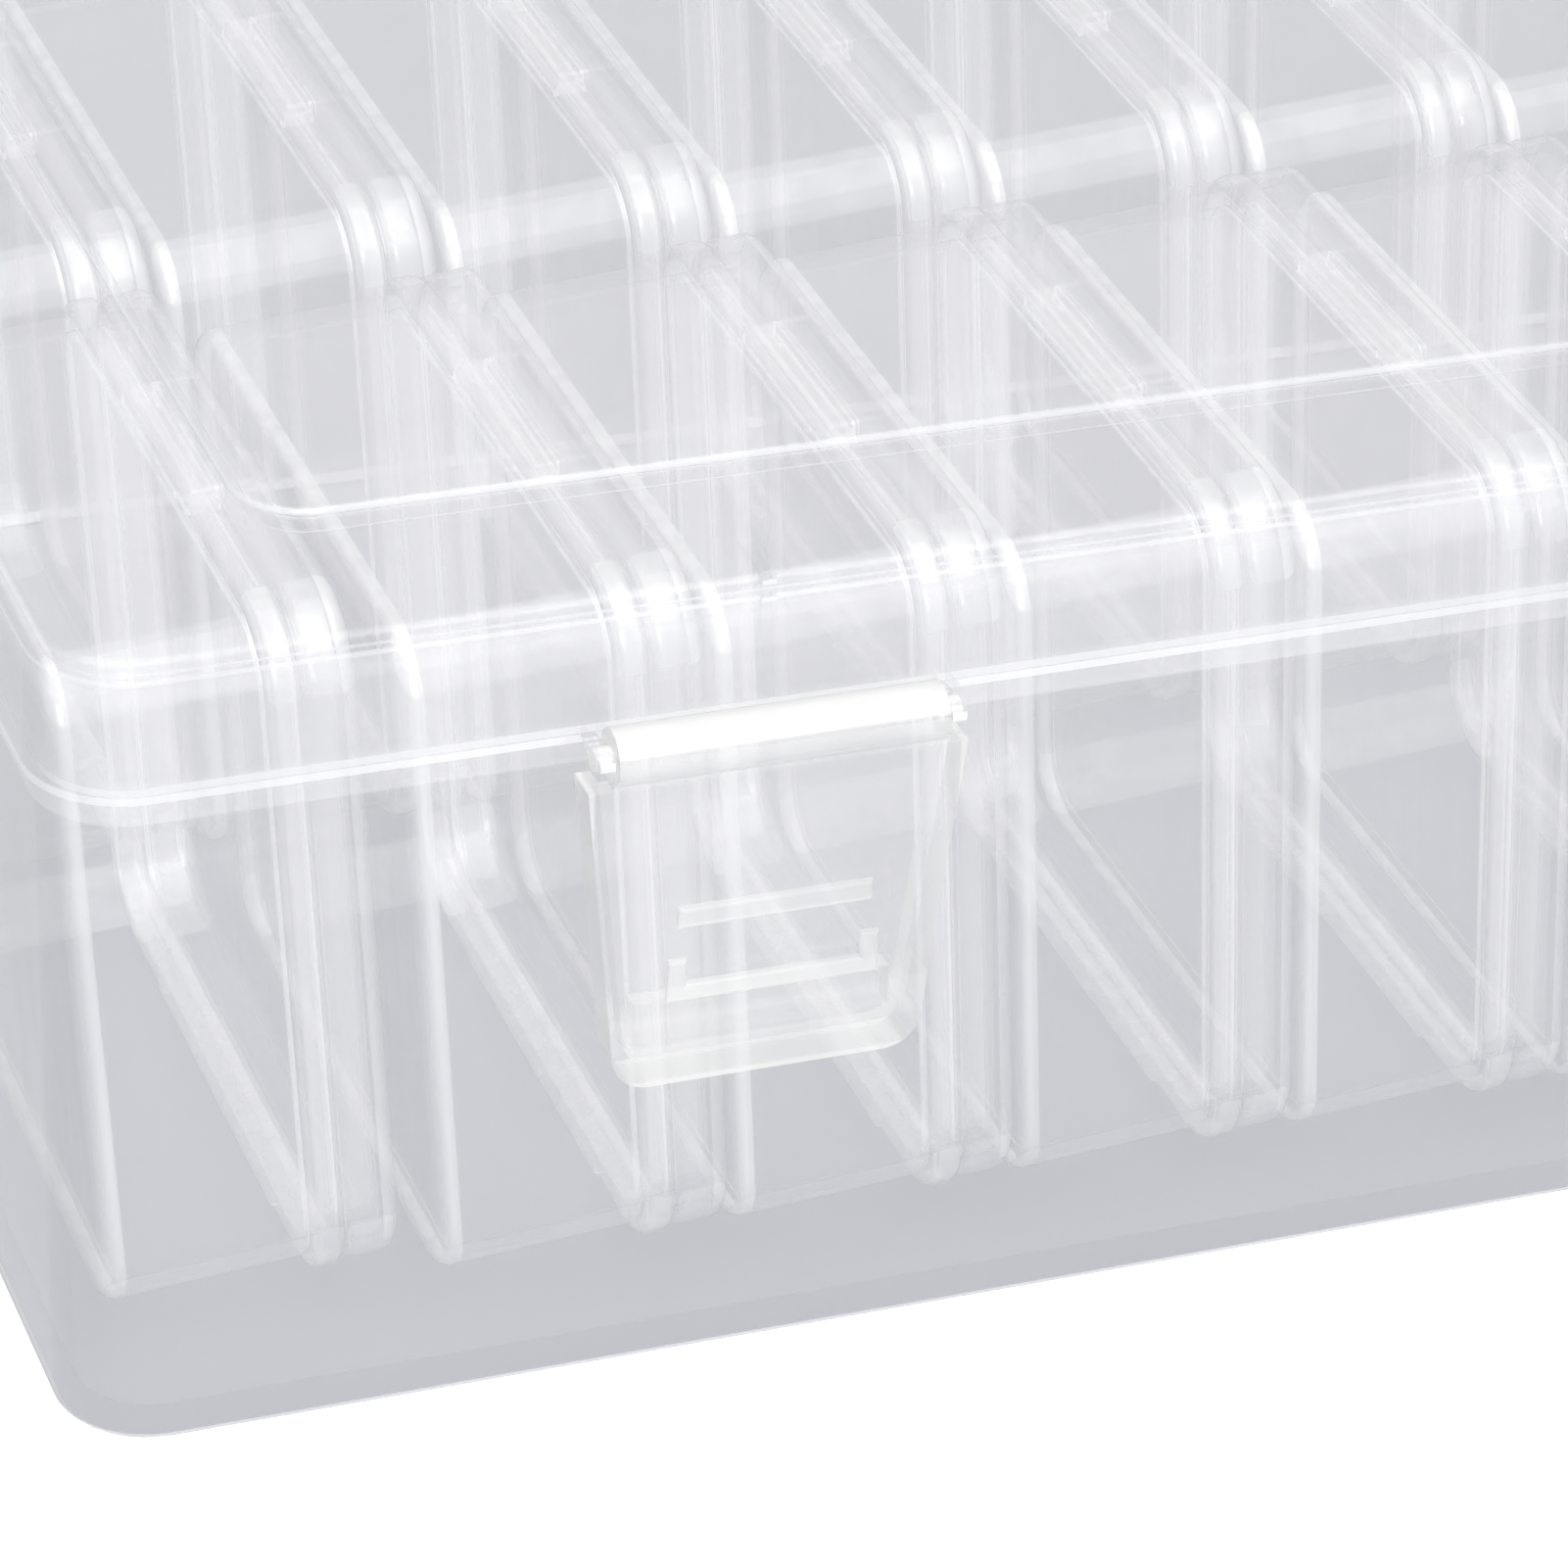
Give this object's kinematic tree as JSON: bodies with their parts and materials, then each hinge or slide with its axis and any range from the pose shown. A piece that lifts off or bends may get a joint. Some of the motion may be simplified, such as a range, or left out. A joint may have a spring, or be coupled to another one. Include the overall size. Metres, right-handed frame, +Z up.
{
  "type": "bead organizer case",
  "caption": "Translucent flat storage case with a hinged lid and flap latches, packed with rows of small hinged boxes that stand on edge, each with its own snap lid.",
  "frame": {"origin": "middle of the underside: centre of the whole part's length and depth, on the surface that it stands on", "axes": "+X along the case to the end that the small lids face, -Y to the front with the latches, +Z up"},
  "size_m": [0.263, 0.1372, 0.0613],
  "materials": {
    "case_plastic": "clear natural polypropylene, injection moulded, lightly glossy",
    "latch_plastic": "natural polypropylene, injection moulded, frosted by its thickness",
    "box_plastic": "clear natural polypropylene, injection moulded, lightly glossy",
    "box_lid_plastic": "clear natural polypropylene, injection moulded, lightly glossy"
  },
  "bodies": {
    "case_base": {"case_base": "case_plastic"},
    "case_lid": {"case_lid": "case_plastic"},
    "latch_left": {"latch_left": "latch_plastic"},
    "latch_right": {"latch_right": "latch_plastic"},
    "box_front_01": {"box_front_01": "box_plastic"},
    "box_lid_front_01": {"box_lid_front_01": "box_lid_plastic"},
    "box_front_02": {"box_front_02": "box_plastic"},
    "box_lid_front_02": {"box_lid_front_02": "box_lid_plastic"},
    "box_front_03": {"box_front_03": "box_plastic"},
    "box_lid_front_03": {"box_lid_front_03": "box_lid_plastic"},
    "box_front_04": {"box_front_04": "box_plastic"},
    "box_lid_front_04": {"box_lid_front_04": "box_lid_plastic"},
    "box_front_05": {"box_front_05": "box_plastic"},
    "box_lid_front_05": {"box_lid_front_05": "box_lid_plastic"},
    "box_front_06": {"box_front_06": "box_plastic"},
    "box_lid_front_06": {"box_lid_front_06": "box_lid_plastic"},
    "box_front_07": {"box_front_07": "box_plastic"},
    "box_lid_front_07": {"box_lid_front_07": "box_lid_plastic"},
    "box_front_08": {"box_front_08": "box_plastic"},
    "box_lid_front_08": {"box_lid_front_08": "box_lid_plastic"},
    "box_front_09": {"box_front_09": "box_plastic"},
    "box_lid_front_09": {"box_lid_front_09": "box_lid_plastic"},
    "box_front_10": {"box_front_10": "box_plastic"},
    "box_lid_front_10": {"box_lid_front_10": "box_lid_plastic"},
    "box_front_11": {"box_front_11": "box_plastic"},
    "box_lid_front_11": {"box_lid_front_11": "box_lid_plastic"},
    "box_front_12": {"box_front_12": "box_plastic"},
    "box_lid_front_12": {"box_lid_front_12": "box_lid_plastic"},
    "box_back_01": {"box_back_01": "box_plastic"},
    "box_lid_back_01": {"box_lid_back_01": "box_lid_plastic"},
    "box_back_02": {"box_back_02": "box_plastic"},
    "box_lid_back_02": {"box_lid_back_02": "box_lid_plastic"},
    "box_back_03": {"box_back_03": "box_plastic"},
    "box_lid_back_03": {"box_lid_back_03": "box_lid_plastic"},
    "box_back_04": {"box_back_04": "box_plastic"},
    "box_lid_back_04": {"box_lid_back_04": "box_lid_plastic"},
    "box_back_05": {"box_back_05": "box_plastic"},
    "box_lid_back_05": {"box_lid_back_05": "box_lid_plastic"},
    "box_back_06": {"box_back_06": "box_plastic"},
    "box_lid_back_06": {"box_lid_back_06": "box_lid_plastic"},
    "box_back_07": {"box_back_07": "box_plastic"},
    "box_lid_back_07": {"box_lid_back_07": "box_lid_plastic"},
    "box_back_08": {"box_back_08": "box_plastic"},
    "box_lid_back_08": {"box_lid_back_08": "box_lid_plastic"},
    "box_back_09": {"box_back_09": "box_plastic"},
    "box_lid_back_09": {"box_lid_back_09": "box_lid_plastic"},
    "box_back_10": {"box_back_10": "box_plastic"},
    "box_lid_back_10": {"box_lid_back_10": "box_lid_plastic"},
    "box_back_11": {"box_back_11": "box_plastic"},
    "box_lid_back_11": {"box_lid_back_11": "box_lid_plastic"},
    "box_back_12": {"box_back_12": "box_plastic"},
    "box_lid_back_12": {"box_lid_back_12": "box_lid_plastic"}
  },
  "joints": [
    {"name": "case_lid_hinge", "type": "hinge", "parent": "case_base", "child": "case_lid", "pos_m": [0, 0.0669, 0.0503], "axis": [-1, 0, 0], "range_deg": [0, 180]},
    {"name": "latch_left_hinge", "type": "hinge", "parent": "case_lid", "child": "latch_left", "pos_m": [-0.08471, -0.06665, 0.0503], "axis": [-1, 0, 0], "range_deg": [0, 150]},
    {"name": "latch_right_hinge", "type": "hinge", "parent": "case_lid", "child": "latch_right", "pos_m": [0.08471, -0.06665, 0.0503], "axis": [-1, 0, 0], "range_deg": [0, 150]},
    {"name": "box_front_01_lift", "type": "slide", "parent": "case_base", "child": "box_front_01", "axis": [-0.0767, 0, 0.9971], "range_m": [0, 0.003]},
    {"name": "box_lid_front_01_hinge", "type": "hinge", "parent": "box_front_01", "child": "box_lid_front_01", "pos_m": [-0.10791, -0.0261, 0.00219], "axis": [0, 1, 0], "range_deg": [0, 0.4]},
    {"name": "box_front_02_lift", "type": "slide", "parent": "case_base", "child": "box_front_02", "axis": [-0.0767, 0, 0.9971], "range_m": [0, 0.003]},
    {"name": "box_lid_front_02_hinge", "type": "hinge", "parent": "box_front_02", "child": "box_lid_front_02", "pos_m": [-0.08527, -0.0287, 0.00219], "axis": [0, 1, 0], "range_deg": [0, 0.4]},
    {"name": "box_front_03_lift", "type": "slide", "parent": "case_base", "child": "box_front_03", "axis": [-0.0767, 0, 0.9971], "range_m": [0, 0.003]},
    {"name": "box_lid_front_03_hinge", "type": "hinge", "parent": "box_front_03", "child": "box_lid_front_03", "pos_m": [-0.06434, -0.0287, 0.00219], "axis": [0, 1, 0], "range_deg": [0, 0.4]},
    {"name": "box_front_04_lift", "type": "slide", "parent": "case_base", "child": "box_front_04", "axis": [-0.0767, 0, 0.9971], "range_m": [0, 0.003]},
    {"name": "box_lid_front_04_hinge", "type": "hinge", "parent": "box_front_04", "child": "box_lid_front_04", "pos_m": [-0.04341, -0.0287, 0.00219], "axis": [0, 1, 0], "range_deg": [0, 0.4]},
    {"name": "box_front_05_lift", "type": "slide", "parent": "case_base", "child": "box_front_05", "axis": [-0.0767, 0, 0.9971], "range_m": [0, 0.003]},
    {"name": "box_lid_front_05_hinge", "type": "hinge", "parent": "box_front_05", "child": "box_lid_front_05", "pos_m": [-0.02248, -0.0287, 0.00219], "axis": [0, 1, 0], "range_deg": [0, 0.4]},
    {"name": "box_front_06_lift", "type": "slide", "parent": "case_base", "child": "box_front_06", "axis": [-0.0767, 0, 0.9971], "range_m": [0, 0.003]},
    {"name": "box_lid_front_06_hinge", "type": "hinge", "parent": "box_front_06", "child": "box_lid_front_06", "pos_m": [-0.00155, -0.0287, 0.00219], "axis": [0, 1, 0], "range_deg": [0, 0.4]},
    {"name": "box_front_07_lift", "type": "slide", "parent": "case_base", "child": "box_front_07", "axis": [-0.0767, 0, 0.9971], "range_m": [0, 0.003]},
    {"name": "box_lid_front_07_hinge", "type": "hinge", "parent": "box_front_07", "child": "box_lid_front_07", "pos_m": [0.01938, -0.0287, 0.00219], "axis": [0, 1, 0], "range_deg": [0, 0.4]},
    {"name": "box_front_08_lift", "type": "slide", "parent": "case_base", "child": "box_front_08", "axis": [-0.0767, 0, 0.9971], "range_m": [0, 0.003]},
    {"name": "box_lid_front_08_hinge", "type": "hinge", "parent": "box_front_08", "child": "box_lid_front_08", "pos_m": [0.04032, -0.0287, 0.00219], "axis": [0, 1, 0], "range_deg": [0, 0.4]},
    {"name": "box_front_09_lift", "type": "slide", "parent": "case_base", "child": "box_front_09", "axis": [-0.0767, 0, 0.9971], "range_m": [0, 0.003]},
    {"name": "box_lid_front_09_hinge", "type": "hinge", "parent": "box_front_09", "child": "box_lid_front_09", "pos_m": [0.06125, -0.0287, 0.00219], "axis": [0, 1, 0], "range_deg": [0, 0.4]},
    {"name": "box_front_10_lift", "type": "slide", "parent": "case_base", "child": "box_front_10", "axis": [-0.0767, 0, 0.9971], "range_m": [0, 0.003]},
    {"name": "box_lid_front_10_hinge", "type": "hinge", "parent": "box_front_10", "child": "box_lid_front_10", "pos_m": [0.08218, -0.0287, 0.00219], "axis": [0, 1, 0], "range_deg": [0, 0.4]},
    {"name": "box_front_11_lift", "type": "slide", "parent": "case_base", "child": "box_front_11", "axis": [-0.0767, 0, 0.9971], "range_m": [0, 0.003]},
    {"name": "box_lid_front_11_hinge", "type": "hinge", "parent": "box_front_11", "child": "box_lid_front_11", "pos_m": [0.10311, -0.0287, 0.00219], "axis": [0, 1, 0], "range_deg": [0, 0.4]},
    {"name": "box_front_12_lift", "type": "slide", "parent": "case_base", "child": "box_front_12", "axis": [-0.0767, 0, 0.9971], "range_m": [0, 0.003]},
    {"name": "box_lid_front_12_hinge", "type": "hinge", "parent": "box_front_12", "child": "box_lid_front_12", "pos_m": [0.12404, -0.0287, 0.00219], "axis": [0, 1, 0], "range_deg": [0, 0.4]},
    {"name": "box_back_01_lift", "type": "slide", "parent": "case_base", "child": "box_back_01", "axis": [-0.0767, 0, 0.9971], "range_m": [0, 0.003]},
    {"name": "box_lid_back_01_hinge", "type": "hinge", "parent": "box_back_01", "child": "box_lid_back_01", "pos_m": [-0.1062, 0.0291, 0.00219], "axis": [0, 1, 0], "range_deg": [0, 0.4]},
    {"name": "box_back_02_lift", "type": "slide", "parent": "case_base", "child": "box_back_02", "axis": [-0.0767, 0, 0.9971], "range_m": [0, 0.003]},
    {"name": "box_lid_back_02_hinge", "type": "hinge", "parent": "box_back_02", "child": "box_lid_back_02", "pos_m": [-0.08527, 0.0291, 0.00219], "axis": [0, 1, 0], "range_deg": [0, 0.4]},
    {"name": "box_back_03_lift", "type": "slide", "parent": "case_base", "child": "box_back_03", "axis": [-0.0767, 0, 0.9971], "range_m": [0, 0.003]},
    {"name": "box_lid_back_03_hinge", "type": "hinge", "parent": "box_back_03", "child": "box_lid_back_03", "pos_m": [-0.06434, 0.0291, 0.00219], "axis": [0, 1, 0], "range_deg": [0, 0.4]},
    {"name": "box_back_04_lift", "type": "slide", "parent": "case_base", "child": "box_back_04", "axis": [-0.0767, 0, 0.9971], "range_m": [0, 0.003]},
    {"name": "box_lid_back_04_hinge", "type": "hinge", "parent": "box_back_04", "child": "box_lid_back_04", "pos_m": [-0.04341, 0.0291, 0.00219], "axis": [0, 1, 0], "range_deg": [0, 0.4]},
    {"name": "box_back_05_lift", "type": "slide", "parent": "case_base", "child": "box_back_05", "axis": [-0.0767, 0, 0.9971], "range_m": [0, 0.003]},
    {"name": "box_lid_back_05_hinge", "type": "hinge", "parent": "box_back_05", "child": "box_lid_back_05", "pos_m": [-0.02248, 0.0291, 0.00219], "axis": [0, 1, 0], "range_deg": [0, 0.4]},
    {"name": "box_back_06_lift", "type": "slide", "parent": "case_base", "child": "box_back_06", "axis": [-0.0767, 0, 0.9971], "range_m": [0, 0.003]},
    {"name": "box_lid_back_06_hinge", "type": "hinge", "parent": "box_back_06", "child": "box_lid_back_06", "pos_m": [-0.00155, 0.0291, 0.00219], "axis": [0, 1, 0], "range_deg": [0, 0.4]},
    {"name": "box_back_07_lift", "type": "slide", "parent": "case_base", "child": "box_back_07", "axis": [-0.0767, 0, 0.9971], "range_m": [0, 0.003]},
    {"name": "box_lid_back_07_hinge", "type": "hinge", "parent": "box_back_07", "child": "box_lid_back_07", "pos_m": [0.01938, 0.0291, 0.00219], "axis": [0, 1, 0], "range_deg": [0, 0.4]},
    {"name": "box_back_08_lift", "type": "slide", "parent": "case_base", "child": "box_back_08", "axis": [-0.0767, 0, 0.9971], "range_m": [0, 0.003]},
    {"name": "box_lid_back_08_hinge", "type": "hinge", "parent": "box_back_08", "child": "box_lid_back_08", "pos_m": [0.04032, 0.0291, 0.00219], "axis": [0, 1, 0], "range_deg": [0, 0.4]},
    {"name": "box_back_09_lift", "type": "slide", "parent": "case_base", "child": "box_back_09", "axis": [-0.0767, 0, 0.9971], "range_m": [0, 0.003]},
    {"name": "box_lid_back_09_hinge", "type": "hinge", "parent": "box_back_09", "child": "box_lid_back_09", "pos_m": [0.06125, 0.0291, 0.00219], "axis": [0, 1, 0], "range_deg": [0, 0.4]},
    {"name": "box_back_10_lift", "type": "slide", "parent": "case_base", "child": "box_back_10", "axis": [-0.0767, 0, 0.9971], "range_m": [0, 0.003]},
    {"name": "box_lid_back_10_hinge", "type": "hinge", "parent": "box_back_10", "child": "box_lid_back_10", "pos_m": [0.08218, 0.0291, 0.00219], "axis": [0, 1, 0], "range_deg": [0, 0.4]},
    {"name": "box_back_11_lift", "type": "slide", "parent": "case_base", "child": "box_back_11", "axis": [-0.0767, 0, 0.9971], "range_m": [0, 0.003]},
    {"name": "box_lid_back_11_hinge", "type": "hinge", "parent": "box_back_11", "child": "box_lid_back_11", "pos_m": [0.10311, 0.0291, 0.00219], "axis": [0, 1, 0], "range_deg": [0, 0.4]},
    {"name": "box_back_12_lift", "type": "slide", "parent": "case_base", "child": "box_back_12", "axis": [-0.0767, 0, 0.9971], "range_m": [0, 0.003]},
    {"name": "box_lid_back_12_hinge", "type": "hinge", "parent": "box_back_12", "child": "box_lid_back_12", "pos_m": [0.12404, 0.0291, 0.00219], "axis": [0, 1, 0], "range_deg": [0, 0.4]}
  ]
}
